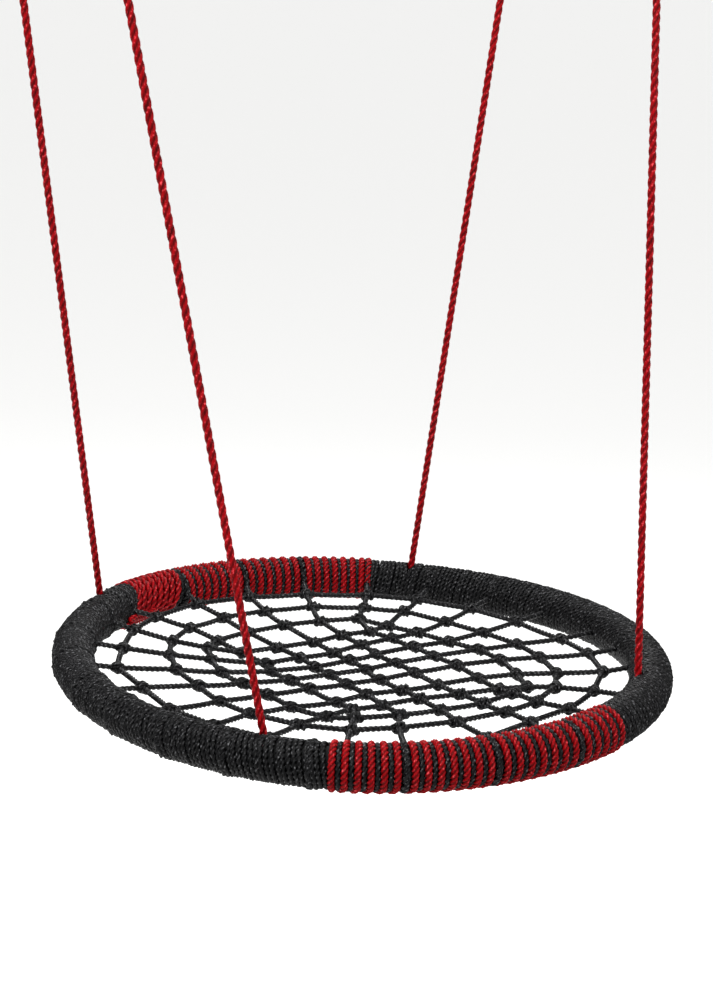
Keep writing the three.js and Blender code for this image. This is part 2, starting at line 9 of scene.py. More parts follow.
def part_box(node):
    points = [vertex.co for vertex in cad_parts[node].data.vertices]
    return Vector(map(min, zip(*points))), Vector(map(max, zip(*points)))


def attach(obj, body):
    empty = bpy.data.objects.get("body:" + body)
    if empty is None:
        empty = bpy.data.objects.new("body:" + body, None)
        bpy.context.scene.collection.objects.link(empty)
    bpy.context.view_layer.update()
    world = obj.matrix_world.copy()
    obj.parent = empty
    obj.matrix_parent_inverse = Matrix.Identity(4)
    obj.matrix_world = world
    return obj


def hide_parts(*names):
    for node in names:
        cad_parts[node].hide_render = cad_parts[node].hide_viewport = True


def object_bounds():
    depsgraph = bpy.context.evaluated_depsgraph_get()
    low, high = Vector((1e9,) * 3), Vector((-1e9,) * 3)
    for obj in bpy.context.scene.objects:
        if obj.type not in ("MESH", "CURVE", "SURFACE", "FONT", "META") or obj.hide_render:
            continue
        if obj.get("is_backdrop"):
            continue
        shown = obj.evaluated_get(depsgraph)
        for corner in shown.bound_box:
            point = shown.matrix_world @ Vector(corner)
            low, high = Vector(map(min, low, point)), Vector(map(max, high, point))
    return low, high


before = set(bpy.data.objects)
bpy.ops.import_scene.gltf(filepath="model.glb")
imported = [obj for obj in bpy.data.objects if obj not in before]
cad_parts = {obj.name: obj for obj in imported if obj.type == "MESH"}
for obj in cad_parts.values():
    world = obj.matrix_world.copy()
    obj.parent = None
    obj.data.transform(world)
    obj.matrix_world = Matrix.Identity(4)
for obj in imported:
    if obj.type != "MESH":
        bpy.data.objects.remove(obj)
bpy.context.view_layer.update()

# ---- Sizes, in metres, as the CAD model has them ----
RING_RADIUS = 0.442
ROPE_DIAMETER = 0.012
BLACK_WRAP_RADIUS = 0.0338  # over the cord, from the tube's centre line
RED_WRAP_RADIUS = 0.0367
SWING_HALF = 0.468
PIVOT_DEPTH = 0.024
HOOK_REACH = 0.075
HOOK_BOWL = 0.022
HOOK_WIRE = 0.012
LINK_WIRE = 0.012
LINK_CORNER = 0.022
LINK_HALF = 0.124
LINK_HEIGHT = 0.104
LINK_DROP = PIVOT_DEPTH + HOOK_REACH + HOOK_BOWL
NET_CORD = 0.0096
FOAM_RADIUS = 0.0262
RING_WARP = 0.005  # how far the ring is bent out of its plane
LEFT_SIDE = 185.0  # degrees round the ring
LEFT_BULGE = 0.0015
LEFT_SLIMMING = 0.0026
NET_SAG = 0.02
NET_EDGE_RADIUS = 0.0355  # from the ring's centre line to where the net's sag begins
UP = np.array([0.0, 0.0, 1.0])

seat_boxes = [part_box(f"ring_tube_{k}") for k in (1, 2, 3, 4)]
SEAT = np.array([
    (min(low[i] for low, _ in seat_boxes) + max(high[i] for _, high in seat_boxes)) / 2
    for i in range(3)
])

# ---- Camera ----
VIEW_TURN = math.radians(-30)  # the view's own left-to-right axis from the swing's X axis
VIEW_DISTANCE = 7.7608 * RING_RADIUS
VIEW_ELEVATION = 0.328034
VIEW_HEADING = math.radians(0.3506)
VIEW_PITCH = math.radians(-14.625)
VIEW_ROLL = math.radians(2.499)
LENS_MM = 80.52

camera_data = bpy.data.cameras.new("camera")
camera_data.lens = LENS_MM
camera_data.sensor_width = 36
camera_data.clip_start = 0.05
camera_data.clip_end = 500
camera = bpy.data.objects.new("camera", camera_data)
bpy.context.scene.collection.objects.link(camera)
back = Matrix.Rotation(VIEW_TURN, 4, "Z") @ Vector((
    0, -VIEW_DISTANCE * math.cos(VIEW_ELEVATION), VIEW_DISTANCE * math.sin(VIEW_ELEVATION),
))
camera.matrix_world = (
    Matrix.Translation(Vector(SEAT) + back)
    @ Matrix.Rotation(VIEW_TURN + VIEW_HEADING, 4, "Z")
    @ Matrix.Rotation(math.pi / 2 + VIEW_PITCH, 4, "X")
    @ Matrix.Rotation(VIEW_ROLL, 4, "Z")
)
bpy.context.scene.camera = camera


# ---- Materials ----
def new_material(name, color, roughness, **inputs):
    material = bpy.data.materials.new(name)
    material.use_nodes = True
    shader = material.node_tree.nodes["Principled BSDF"]
    shader.inputs["Base Color"].default_value = (*color, 1)
    shader.inputs["Roughness"].default_value = roughness
    for key, value in inputs.items():
        shader.inputs[key.replace("_", " ")].default_value = value
    return material, material.node_tree.nodes, material.node_tree.links, shader


def ramp(nodes, links, source, stops):
    node = nodes.new("ShaderNodeValToRGB")
    elements = node.color_ramp.elements
    while len(elements) < len(stops):
        elements.new(0.5)
    for element, (position, color) in zip(elements, stops):
        element.position = position
        element.color = (*color, 1)
    links.new(source, node.inputs["Fac"])
    return node.outputs["Color"]


def noise(nodes, links, coordinates, scale, detail=3.0):
    node = nodes.new("ShaderNodeTexNoise")
    node.inputs["Scale"].default_value = scale
    node.inputs["Detail"].default_value = detail
    links.new(coordinates, node.inputs["Vector"])
    return node.outputs["Fac"]


def math_node(nodes, links, operation, *values):
    """A math node. Each value is a number or the output that feeds it."""
    node = nodes.new("ShaderNodeMath")
    node.operation = operation
    for socket, value in zip(node.inputs, values):
        if isinstance(value, (int, float)):
            socket.default_value = value
        else:
            links.new(value, socket)
    return node.outputs[0]


def cord_material(name, shades, glint, roughness, lay, yarns, specular):
    """Laid synthetic cord. U runs along it in metres and V once round its three strands. Its colour
    holds painted shade in the grooves between the strands and painted highlights on their crests.
    """
    material, nodes, links, shader = new_material(name, shades[1], roughness)
    place = nodes.new("ShaderNodeTexCoord")
    split = nodes.new("ShaderNodeSeparateXYZ")
    links.new(place.outputs["UV"], split.inputs["Vector"])
    along, around = split.outputs["X"], split.outputs["Y"]
    # crest is 1 on a strand's crest and 0 in the groove between strands: painted shade darkens the
    # colour towards the grooves
    wave = math_node(nodes, links, "COSINE", math_node(nodes, links, "MULTIPLY", around, 6 * math.pi))
    crest = math_node(nodes, links, "MULTIPLY_ADD", wave, 0.5, 0.5)
    straight = math_node(nodes, links, "MULTIPLY_ADD", along, 1 / lay, around)
    grain = nodes.new("ShaderNodeCombineXYZ")
    links.new(math_node(nodes, links, "MULTIPLY", along, 230.0), grain.inputs["X"])
    links.new(math_node(nodes, links, "MULTIPLY", straight, float(yarns)), grain.inputs["Y"])
    # Fibre noise: it sets the roughness and bump, and also places the painted glints
    fibres_and_glint_noise = noise(nodes, links, grain.outputs["Vector"], 1.0, 3)
    lines = math_node(
        nodes, links, "SINE", math_node(nodes, links, "MULTIPLY", straight, 2 * math.pi * yarns),
    )
    patches = noise(nodes, links, place.outputs["Object"], 60, 4)
    # Painted groove shade from the crest, mixed with yarn lines and random patches of tone
    tone_and_groove_shade = math_node(nodes, links, "MULTIPLY_ADD", crest, 0.45, math_node(
        nodes, links, "MULTIPLY_ADD", lines, 0.06, math_node(nodes, links, "MULTIPLY", patches, 0.6),
    ))
    base = ramp(nodes, links, tone_and_groove_shade, list(zip((0.22, 0.55, 0.85), shades)))
    # Painted highlight: light glints mixed into the base colour on the strand crests
    painted_glint_mask = nodes.new("ShaderNodeMapRange")
    painted_glint_mask.inputs["From Min"].default_value = 0.56
    painted_glint_mask.inputs["From Max"].default_value = 0.70
    links.new(fibres_and_glint_noise, painted_glint_mask.inputs["Value"])
    mix = nodes.new("ShaderNodeMix")
    mix.data_type = "RGBA"
    mix.inputs[7].default_value = (*glint, 1)
    links.new(math_node(nodes, links, "MULTIPLY", painted_glint_mask.outputs["Result"], crest), mix.inputs[0])
    links.new(base, mix.inputs[6])
    links.new(mix.outputs[2], shader.inputs["Base Color"])
    gloss = nodes.new("ShaderNodeMapRange")
    gloss.inputs["To Min"].default_value = roughness + 0.14
    gloss.inputs["To Max"].default_value = roughness - 0.1
    links.new(fibres_and_glint_noise, gloss.inputs["Value"])
    links.new(gloss.outputs["Result"], shader.inputs["Roughness"])
    bump = nodes.new("ShaderNodeBump")
    bump.inputs["Strength"].default_value = 0.6
    bump.inputs["Distance"].default_value = 0.0004
    links.new(math_node(nodes, links, "MULTIPLY_ADD", lines, 0.4, fibres_and_glint_noise), bump.inputs["Height"])
    links.new(bump.outputs["Normal"], shader.inputs["Normal"])
    shader.inputs["Specular IOR Level"].default_value = specular
    return material


def metal_material(name, color, roughness, scale, spangle):
    """Zinc-coated or pressed metal: faint spangle in colour and gloss, and fine scratches."""
    material, nodes, links, shader = new_material(name, color, roughness, Metallic=1.0)
    place = nodes.new("ShaderNodeTexCoord")
    grains = nodes.new("ShaderNodeTexVoronoi")
    grains.inputs["Scale"].default_value = scale
    links.new(place.outputs["Object"], grains.inputs["Vector"])
    wear = noise(nodes, links, place.outputs["Object"], scale * 0.7, 5)
    shade = [tuple(c * k for c in color) for k in (1 - spangle, 1.0, 1 + spangle * 0.6)]
    links.new(ramp(nodes, links, grains.outputs["Distance"], list(zip((0.0, 0.45, 0.9), shade))),
              shader.inputs["Base Color"])
    gloss = nodes.new("ShaderNodeMapRange")
    gloss.inputs["To Min"].default_value = roughness - 0.1
    gloss.inputs["To Max"].default_value = roughness + 0.15
    links.new(wear, gloss.inputs["Value"])
    links.new(gloss.outputs["Result"], shader.inputs["Roughness"])
    bump = nodes.new("ShaderNodeBump")
    bump.inputs["Strength"].default_value = 0.12
    bump.inputs["Distance"].default_value = 0.0003
    links.new(wear, bump.inputs["Height"])
    links.new(bump.outputs["Normal"], shader.inputs["Normal"])
    return material


def speckled_material(name, dark, light, roughness, scale, bump_distance):
    """Moulded plastic or closed-cell foam: a fine pebbled skin."""
    material, nodes, links, shader = new_material(name, light, roughness)
    place = nodes.new("ShaderNodeTexCoord")
    grain = noise(nodes, links, place.outputs["Object"], scale, 3)
    links.new(ramp(nodes, links, grain, [(0.3, dark), (0.7, light)]), shader.inputs["Base Color"])
    bump = nodes.new("ShaderNodeBump")
    bump.inputs["Strength"].default_value = 0.4
    bump.inputs["Distance"].default_value = bump_distance
    links.new(grain, bump.inputs["Height"])
    links.new(bump.outputs["Normal"], shader.inputs["Normal"])
    return material


# Each cord's three shades: the darker ones paint the shade in the grooves between strands as well as
# random darker patches; the glint is a painted highlight colour
black_cord = cord_material(
    "black_cord", [(0.0004, 0.0004, 0.0005), (0.0015, 0.0015, 0.0018), (0.0045, 0.0045, 0.005)],
    glint=(0.115, 0.115, 0.12), roughness=0.38, lay=0.024, yarns=7, specular=0.085,
)
red_cord = cord_material(
    "red_cord", [(0.045, 0.0002, 0.0006), (0.15, 0.0005, 0.0016), (0.235, 0.001, 0.003)],
    glint=(0.6, 0.055, 0.065), roughness=0.4, lay=0.024, yarns=7, specular=0.045,
)
red_rope = cord_material(
    "red_rope", [(0.045, 0.0002, 0.0006), (0.14, 0.0005, 0.0016), (0.23, 0.001, 0.003)],
    glint=(0.62, 0.05, 0.06), roughness=0.4, lay=0.045, yarns=8, specular=0.045,
)
zinc = metal_material("zinc", (0.33, 0.34, 0.352), 0.36, 160, 0.12)
pressed = metal_material("pressed_aluminium", (0.43, 0.435, 0.44), 0.32, 420, 0.06)
nylon = speckled_material("nylon", (0.012, 0.012, 0.012), (0.02, 0.02, 0.02), 0.45, 900, 0.0001)
foam = speckled_material("foam", (0.003, 0.003, 0.003), (0.007, 0.007, 0.0075), 0.9, 700, 0.0004)
foam.node_tree.nodes["Principled BSDF"].inputs["Specular IOR Level"].default_value = 0.12


# ---- Swept cord meshes ----
NO_LAY = 1e9  # a lay so long that nothing turns, for plain rods


class Sweep:
    """Gathers swept tubes and makes one mesh of them."""

    def __init__(self):
        self.points, self.faces, self.uvs, self.count = [], [], [], 0

    def add(self, path, hint, radius, lay, closed=False, per_lobe=4, groove=0.64, phase=0.0):
        """A three-strand cord along path. hint is a direction across the path at each point."""
        path = np.asarray(path, float)
        n = len(path)
        hint = np.broadcast_to(hint, path.shape)
        if closed:
            tangent = np.roll(path, -1, 0) - np.roll(path, 1, 0)
            step = np.linalg.norm(np.roll(path, -1, 0) - path, axis=1)
        else:
            tangent = np.gradient(path, axis=0)
            step = np.linalg.norm(np.diff(path, axis=0), axis=1)
        tangent /= np.linalg.norm(tangent, axis=1)[:, None]
        side = np.cross(tangent, hint)
        side /= np.linalg.norm(side, axis=1)[:, None]
        up = np.cross(side, tangent)
        along = np.concatenate([[0], np.cumsum(step)])
        turns = along / lay
        if closed:
            turns = turns * (round(turns[-1] * 3) / 3) / turns[-1]
        sides = 3 * per_lobe
        lobe = 2 * math.pi * np.arange(sides) / sides
        profile = groove + (1 - groove) * (0.5 + 0.5 * np.cos(3 * lobe)) ** 0.6
        angle = lobe[None, :] + 2 * math.pi * turns[:n, None] + phase
        size = np.broadcast_to(np.asarray(radius, float), (n,))[:, None] * profile[None, :]
        ring = (
            path[:, None, :]
            + (size * np.cos(angle))[..., None] * up[:, None, :]
            + (size * np.sin(angle))[..., None] * side[:, None, :]
        )
        rows = n if closed else n - 1
        i = np.arange(rows)[:, None]
        j = np.arange(sides)[None, :]
        # A closed cord joins its last ring to its first, turned by a whole number of lobes.
        shift = int(round(turns[n] * sides)) % sides if closed else 0
        after = (i + 1) % n
        turn = np.where(i + 1 >= n, shift, 0) if closed else np.zeros_like(i)
        near, far = i * sides + j, i * sides + (j + 1) % sides
        far_next = after * sides + (j + 1 + turn) % sides
        near_next = after * sides + (j + turn) % sides
        quads = np.stack([near, far, far_next, near_next], -1).reshape(-1, 4) + self.count
        u0 = np.broadcast_to(along[:rows, None], (rows, sides))
        u1 = np.broadcast_to(along[1:rows + 1, None], (rows, sides))
        v = np.broadcast_to(j / sides, (rows, sides))
        uv = np.stack([
            np.stack([u0, v], -1), np.stack([u0, v + 1 / sides], -1),
            np.stack([u1, v + 1 / sides], -1), np.stack([u1, v], -1),
        ], 2).reshape(-1, 2)
        self.points.append(ring.reshape(-1, 3))
        self.faces.append(quads)
        self.uvs.append(uv)
        self.count += n * sides
        if not closed:
            self._cap(path[0], self.count - n * sides, sides, True)
            self._cap(path[-1], self.count - 1 - sides, sides, False)

    def add_rod(self, path, hint, radius, closed=False, per_lobe=8):
        """A smooth round rod along path."""
        self.add(path, hint, radius, NO_LAY, closed=closed, per_lobe=per_lobe, groove=1.0)

    def _cap(self, centre, first, sides, start):
        """Closes one end of an open tube, whose ring of points begins at first."""
        self.points.append(centre[None, :])
        j = np.arange(sides)
        following = (j + 1) % sides
        hub = np.full(sides, self.count)
        a, b = (following, j) if start else (j, following)
        self.faces.append(np.stack([hub, first + a, first + b, first + b], -1))
        self.uvs.append(np.zeros((sides * 4, 2)))
        self.count += 1

    def build(self, name, material):
        """Makes the gathered tubes one object."""
        points = np.concatenate(self.points)
        quads = np.concatenate(self.faces)
        uvs = np.concatenate(self.uvs).reshape(-1, 4, 2)
        triangle = quads[:, 2] == quads[:, 3]
        loops = np.where(triangle, 3, 4)
        keep = np.ones(quads.shape, bool)
        keep[triangle, 3] = False
        mesh = bpy.data.meshes.new(name)
        mesh.vertices.add(len(points))
        mesh.vertices.foreach_set("co", points.astype(np.float32).ravel())
        mesh.loops.add(int(loops.sum()))
        mesh.loops.foreach_set("vertex_index", quads[keep].astype(np.int32))
        mesh.polygons.add(len(quads))
        starts = np.concatenate([[0], np.cumsum(loops)[:-1]])
        mesh.polygons.foreach_set("loop_start", starts.astype(np.int32))
        mesh.polygons.foreach_set("use_smooth", np.ones(len(quads), bool))
        mesh.update(calc_edges=True)
        layer = mesh.uv_layers.new(name="UVMap")
        layer.data.foreach_set("uv", uvs[keep].astype(np.float32).ravel())
        mesh.validate()
        mesh.materials.append(material)
        made = bpy.data.objects.new(name, mesh)
        bpy.context.scene.collection.objects.link(made)
        return made


def mesh_object(name, points, faces, material):
    mesh = bpy.data.meshes.new(name)
    mesh.from_pydata([tuple(point) for point in points], [], faces)
    mesh.validate()
    mesh.polygons.foreach_set("use_smooth", [True] * len(mesh.polygons))
    mesh.set_sharp_from_angle(angle=math.radians(32))
    mesh.materials.append(material)
    made = bpy.data.objects.new(name, mesh)
    bpy.context.scene.collection.objects.link(made)
    return made


def lathe(name, profile, origin, axis, material, sides=56):
    """A turned piece. The profile is a closed outline of (radius, distance along the axis)."""
    axis = np.asarray(axis, float) / np.linalg.norm(axis)
    across = np.cross(axis, UP if abs(axis[2]) < 0.9 else np.array([1.0, 0, 0]))
    across /= np.linalg.norm(across)
    other = np.cross(axis, across)
    turn = 2 * math.pi * np.arange(sides) / sides
    spokes = np.cos(turn)[:, None] * across + np.sin(turn)[:, None] * other
    rows = len(profile)
    points = [origin + axis * z + spoke * r for spoke in spokes for r, z in profile]
    faces = [
        (
            j * rows + i, ((j + 1) % sides) * rows + i,
            ((j + 1) % sides) * rows + (i + 1) % rows, j * rows + (i + 1) % rows,
        )
        for j in range(sides) for i in range(rows)
    ]
    return mesh_object(name, points, faces, material)


def refined(name, node, material, bevel, segments=3):
    """A copy of a CAD node with its sharp edges rounded."""
    made = bpy.data.objects.new(name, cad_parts[node].data.copy())
    bpy.context.scene.collection.objects.link(made)
    work = bmesh.new()
    work.from_mesh(made.data)
    bmesh.ops.remove_doubles(work, verts=work.verts, dist=1e-5)
    bmesh.ops.dissolve_limit(
        work, angle_limit=math.radians(1), verts=work.verts, edges=work.edges,
    )
    sharp = [
        edge for edge in work.edges
        if len(edge.link_faces) == 2 and edge.calc_face_angle(0) > math.radians(48)
    ]
    bmesh.ops.bevel(
        work, geom=sharp, offset=bevel, segments=segments, profile=0.5, affect="EDGES",
        clamp_overlap=True,
    )
    work.to_mesh(made.data)
    work.free()
    made.data.polygons.foreach_set("use_smooth", [True] * len(made.data.polygons))
    made.data.set_sharp_from_angle(angle=math.radians(50))
    made.data.materials.clear()
    made.data.materials.append(material)
    return made


def direction(angle):
    """Outwards from the seat's axis, for angles in degrees."""
    a = np.radians(angle)
    return np.stack([np.cos(a), np.sin(a), np.zeros_like(a)], -1)


def ring_point(angle):
    """On the ring's centre line, which is bent out of its plane and bulges at the left."""
    angle = np.asarray(angle, float) % 360
    rise = -RING_WARP * np.sin(2 * np.radians(angle))
    radius = RING_RADIUS + LEFT_BULGE * np.exp(-((angle - LEFT_SIDE) / 40) ** 2)
    return SEAT + radius[..., None] * direction(angle) + rise[..., None] * UP


def slimmer(angle):
    """How much thinner the padding is on the seat's left."""
    return LEFT_SLIMMING * np.exp(-((np.asarray(angle) - LEFT_SIDE) / 38) ** 2)


def sideways(angle):
    """Along the ring, for angles in degrees."""
    a = np.radians(angle)
    return np.stack([-np.sin(a), np.cos(a), np.zeros_like(a)], -1)


# ---- Ropes ----
STEEL_RADIUS = 0.01345
GAP = 0.0003
NOOSE_RADIUS = STEEL_RADIUS + 4 * GAP + ROPE_DIAMETER / 2
THIMBLE_HOLE = 0.010
THIMBLE_GROOVE = 0.012
THIMBLE_HALF = 0.0065
GROOVE_HALF = 0.0056
EYE_RADIUS = THIMBLE_GROOVE + GAP + ROPE_DIAMETER / 2
FERRULE_LENGTH = 0.042
FERRULE_WALL = 0.0035
FERRULE_PRESSINGS = 4
ROPE_LAY = 0.045
CORD_LAY = 0.024
ROPES = {  # angle round the seat in degrees, how far outwards of the tube's top, and side
    "back_right": (50, 0.0, 1),
    "back_left": (128.5, 0.016, -1),
    "front_left": (222.5, -0.015, -1),
    "front_right": (314.8, -0.014, 1),
}


def rope_line(angle, outwards, side):
    """The rope's foot, its direction down, its eye's middle and its eye's axis."""
    climb = math.sqrt(NOOSE_RADIUS ** 2 - outwards ** 2)
    foot = SEAT + direction(angle) * (RING_RADIUS + outwards - 0.0012) + UP * climb
    corner = np.array([
        side * SWING_HALF, math.copysign(LINK_HALF, foot[1]), -LINK_DROP - LINK_HEIGHT,
    ])
    spread = math.atan2(foot[1] - corner[1], corner[2] - foot[2])
    head = corner + LINK_CORNER * np.array([0, math.sin(spread), -math.cos(spread)])
    down = (foot - head) / np.linalg.norm(foot - head)
    eye = head + down * (THIMBLE_HOLE - LINK_WIRE / 2 - 8 * GAP)
    tangent = np.array([0, math.cos(spread), math.sin(spread)])
    normal = tangent - down * (tangent @ down)
    return foot, down, eye, normal / np.linalg.norm(normal)


rope_lines = {place: rope_line(*facts) for place, facts in ROPES.items()}
for place, (foot, down, eye, normal) in rope_lines.items():
    ferrule_top = eye + down * (EYE_RADIUS + ROPE_DIAMETER / 2 + 0.004)
    length = np.linalg.norm(foot - ferrule_top)
    steps = int(length / 0.003)
    path = foot + np.linspace(0, 1, steps)[:, None] * (ferrule_top - foot)
    rope = Sweep()
    rope.add(path, normal, ROPE_DIAMETER / 2, ROPE_LAY, per_lobe=6, groove=0.72)
    piece = rope.build(f"rope_{place}_run", red_rope)
    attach(piece, "seat")
    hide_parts(f"rope_{place}")
    eye_rope = Sweep()
    across = np.cross(normal, down)
    turn = np.linspace(0.32, 2 * math.pi - 0.32, 60)
    loop = eye + EYE_RADIUS * (np.cos(turn)[:, None] * down + np.sin(turn)[:, None] * across)
    tail = ferrule_top + down * FERRULE_LENGTH * 0.25
    start = np.linspace(tail + across * 0.0035, loop[0], 8)[:-1]
    end = np.linspace(loop[-1], tail - across * 0.0035, 8)[1:]
    line = np.concatenate([start, loop, end])
    for _ in range(3):
        line[1:-1] = (line[:-2] + 2 * line[1:-1] + line[2:]) / 4
    eye_rope.add(line, normal, ROPE_DIAMETER / 2 * 0.94, ROPE_LAY, per_lobe=6, groove=0.6)
    eye_piece = eye_rope.build(f"rope_{place}_eye", red_rope)
    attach(eye_piece, "seat")
    half = THIMBLE_HALF
    groove = [
        (THIMBLE_GROOVE + 0.0016 - 0.0028 * (1 - (z / GROOVE_HALF) ** 2), z)
        for z in np.linspace(-GROOVE_HALF, GROOVE_HALF, 13)
    ]
    thimble = lathe(
        f"thimble_{place}_turned",
        [(THIMBLE_HOLE, half - 0.0008), (THIMBLE_HOLE, 0.0), (THIMBLE_HOLE, 0.0008 - half),
         (THIMBLE_HOLE + 0.0007, -half), (THIMBLE_GROOVE + 0.0012, -half), *groove,
         (THIMBLE_GROOVE + 0.0012, half), (THIMBLE_HOLE + 0.0007, half)],
        eye, normal, zinc,
    )
    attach(thimble, "seat")
    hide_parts(f"thimble_{place}")
    bore, wall = ROPE_DIAMETER / 2 + 2 * GAP, FERRULE_WALL
    ferrule_shape = [(bore, FERRULE_LENGTH), (bore, 0.0), (bore + 0.002, 0.0)]
    for z in np.linspace(0.001, FERRULE_LENGTH - 0.001, 41):
        squeeze = math.cos(2 * math.pi * FERRULE_PRESSINGS * z / FERRULE_LENGTH)
        press = 0.0008 * (0.5 - 0.5 * squeeze) ** 4
        ferrule_shape.append((bore + wall - press, z))
    ferrule_shape.append((bore + 0.002, FERRULE_LENGTH))
    ferrule_start = eye + down * (EYE_RADIUS + ROPE_DIAMETER / 2 + 0.002)
    ferrule = lathe(f"ferrule_{place}_pressed", ferrule_shape, ferrule_start, down, pressed)
    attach(ferrule, "seat")
    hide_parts(f"ferrule_{place}")


# ---- Cord wound round the ring ----
SEGMENTS_PER_TURN = 60
ROPE_CLEARANCE = 0.0028  # how far the winding is pushed aside, past the rope's own radius
RED_FRONT = (235.0, 292.5)  # the striped wraps' ends, in degrees round the ring
RED_BACK = (59.5, 123.5)
CLOSE_TURNS = (106.0, 125.4)  # here the red turns lie side by side, over the lashing at their end
RED_PITCH = 2.2
ROOM_AT_LASHING = 1.34  # from one turn to the next over a lashing, in pitches
ROOM_AT_END = 0.7
STRIPE_BLACK_CORD = 0.005  # cord sizes are radii
STRIPE_LASHING_CORD = 0.0042
STRIPE_LASHING_DEPTH = 0.0068
CLOSE_RED_CORD = 0.0052
CLOSE_BLACK_CORD = 0.0045
CLOSE_BLACK_DEPTH = 0.0112
CLOSE_LEANS = (-3.1, -1.8)
TAIL_CORD = 0.0046
BLACK_PITCH = 0.95
BLACK_CORD = 0.0044
BLACK_LASHING_CORD = 0.0038
BLACK_LEAN = -0.7
LASHING_SWING = (0.0022, 0.0026)  # how far a lashing's two cords twist round each other


def part_round_ropes(points):
    """Moves the winding aside where a rope comes out between its turns."""
    room = ROPE_DIAMETER / 2 + ROPE_CLEARANCE
    for place, (foot, down, _, _) in rope_lines.items():
        angle = ROPES[place][0]
        along = sideways(angle)
        offset = points - foot
        up_rope = -(offset @ down)
        near = offset + up_rope[:, None] * down
        s = near @ along
        rest = near - s[:, None] * along
        lateral = np.linalg.norm(rest, axis=1)
        weight = np.exp(-(lateral / 0.011) ** 2) * (up_rope > -0.012)
        push = np.sign(s) * room * np.exp(-np.abs(s) / 0.022) * weight
        push[np.abs(s) > 0.08] = 0
        points = points + push[:, None] * along
    return points


def wound(angles, wind_radius, bumps=None, step_room=0.12, leans=(0.0, 0.0)):
    """A winding with one turn at each ring angle. It steps to the next turn under the tube.

    The leans are how far the first and the last turn slope along the ring, in degrees.
    """
    turns = len(angles)
    k = np.linspace(0, turns, turns * SEGMENTS_PER_TURN + 1)
    first = np.arange(turns)
    stops = np.stack([first + step_room, first + 1 - step_room], -1).ravel()
    a = np.interp(k, stops, np.repeat(angles, 2))
    psi = 2 * math.pi * (k - 0.25)
    radius = np.full_like(a, wind_radius)
    if bumps is not None:
        radius = radius + bumps(a, psi)
    out = np.cos(psi)[:, None] * direction(a) + np.sin(psi)[:, None] * UP
    lean = np.interp(k, (0, turns), leans)
    points = ring_point(a + lean * np.sin(psi)) + radius[:, None] * out
    return part_round_ropes(points), out


# ---- Net knots, as in the CAD net ----
# Only the first lashing differs: it goes to the end of the close red turns, as its strand does.
# Rounds from the middle out: x and y from the seat's centre in millimetres, and the knot of the next
# round inwards that a cord ties it to.
NET_ROUNDS = [
    [
        (7, 50), (9, 1), (6, -49),
    ],
    [
        (-62, 87), (-61, 40, 0), (-55, 1, 1), (-52, -48, 2), (-48, -102), (13, -106, 2), (74, -106),
        (71, -42, 2), (68, 9, 1), (58, 58, 0), (60, 105), (0, 89, 0),
    ],
    [
        (-140, 134), (-125, 78, 0), (-135, 44, 1), (-126, -2, 2), (-116, -47, 3), (-108, -118, 4),
        (-103, -155), (-51, -155, 4), (16, -151, 5), (81, -160, 6), (144, -168), (145, -109, 6),
        (147, -41, 7), (138, 11, 8), (131, 63, 9), (119, 112, 10), (100, 153), (51, 156, 10),
        (-7, 143, 11), (-74, 139, 0),
    ],
    [
        (-153, 194, 0), (-183, 168, 0), (-201, 119, 1), (-211, 60, 2), (-202, 5, 3), (-190, -54, 4),
        (-184, -116, 5), (-155, -174, 6), (-118, -193, 6), (-50, -205, 7), (16, -210, 8), (88, -213, 9),
        (153, -196, 10), (187, -181, 10), (205, -123, 11), (220, -55, 12), (216, 4, 13), (193, 58, 14),
        (169, 117, 15), (140, 163, 16), (112, 212, 16), (48, 225, 17), (-16, 228, 18), (-89, 217, 19),
    ],
    [
        (-172, 258, 0), (-225, 209, 1), (-256, 151, 2), (-275, 87, 3), (-273, 10, 4), (-273, -64, 5),
        (-255, -129, 6), (-213, -195, 7), (-153, -244, 8), (-83, -260, 9), (6, -270, 10),
        (96, -264, 11), (160, -247, 12), (221, -206, 13), (259, -152, 14), (279, -76, 15),
        (282, -6, 16), (263, 67, 17), (235, 139, 18), (198, 211, 19), (145, 252, 20), (67, 288, 21),
        (-19, 295, 22), (-98, 287, 23),
    ],
    [
        (-205, 315, 0), (-266, 267, 1), (-317, 191, 2), (-362, 108, 3), (-361, 16, 4), (-363, -85, 5),
        (-333, -169, 6), (-287, -240, 7), (-200, -316, 8), (-125, -352, 9), (2, -358, 10),
        (97, -324, 11), (182, -300, 12), (259, -252, 13), (321, -187, 14), (351, -106, 15),
        (353, -25, 16), (337, 81, 17), (302, 170, 18), (244, 247, 19), (177, 299, 20), (83, 341, 21),
        (-15, 359, 22), (-115, 355, 23),
    ],
]
NET_LASHINGS = [  # where the outer round's strands are lashed to the ring, in degrees
    125.3, 134.8, 150, 163.7, 178.3, 191, 204, 217, 232, 248.1, 264, 281, 297, 312, 330.2, 343.2, 356,
    13.5, 29.4, 45, 59.7, 75, 89.5, 106,
]


def unevenness(seed):
    """A repeatable number from -1 to 1."""
    s = math.sin(seed * 12.9898) * 43758.5453
    return 2 * (s - math.floor(s)) - 1


def sag(r):
    """How far the net hangs below the ring's plane, at r from the seat's axis."""
    return -NET_SAG * max(0.0, 1 - (r / (RING_RADIUS - NET_EDGE_RADIUS)) ** 2)


def net_point(knot):
    """Where a knot of the table above lies."""
    x, y = knot[0] / 1000, knot[1] / 1000
    return SEAT + np.array([x, y, sag(math.hypot(x, y))])


def in_section(angle, section):
    """Whether the ring angle lies between the section's two ends."""
    return (angle - section[0]) % 360 < section[1] - section[0]


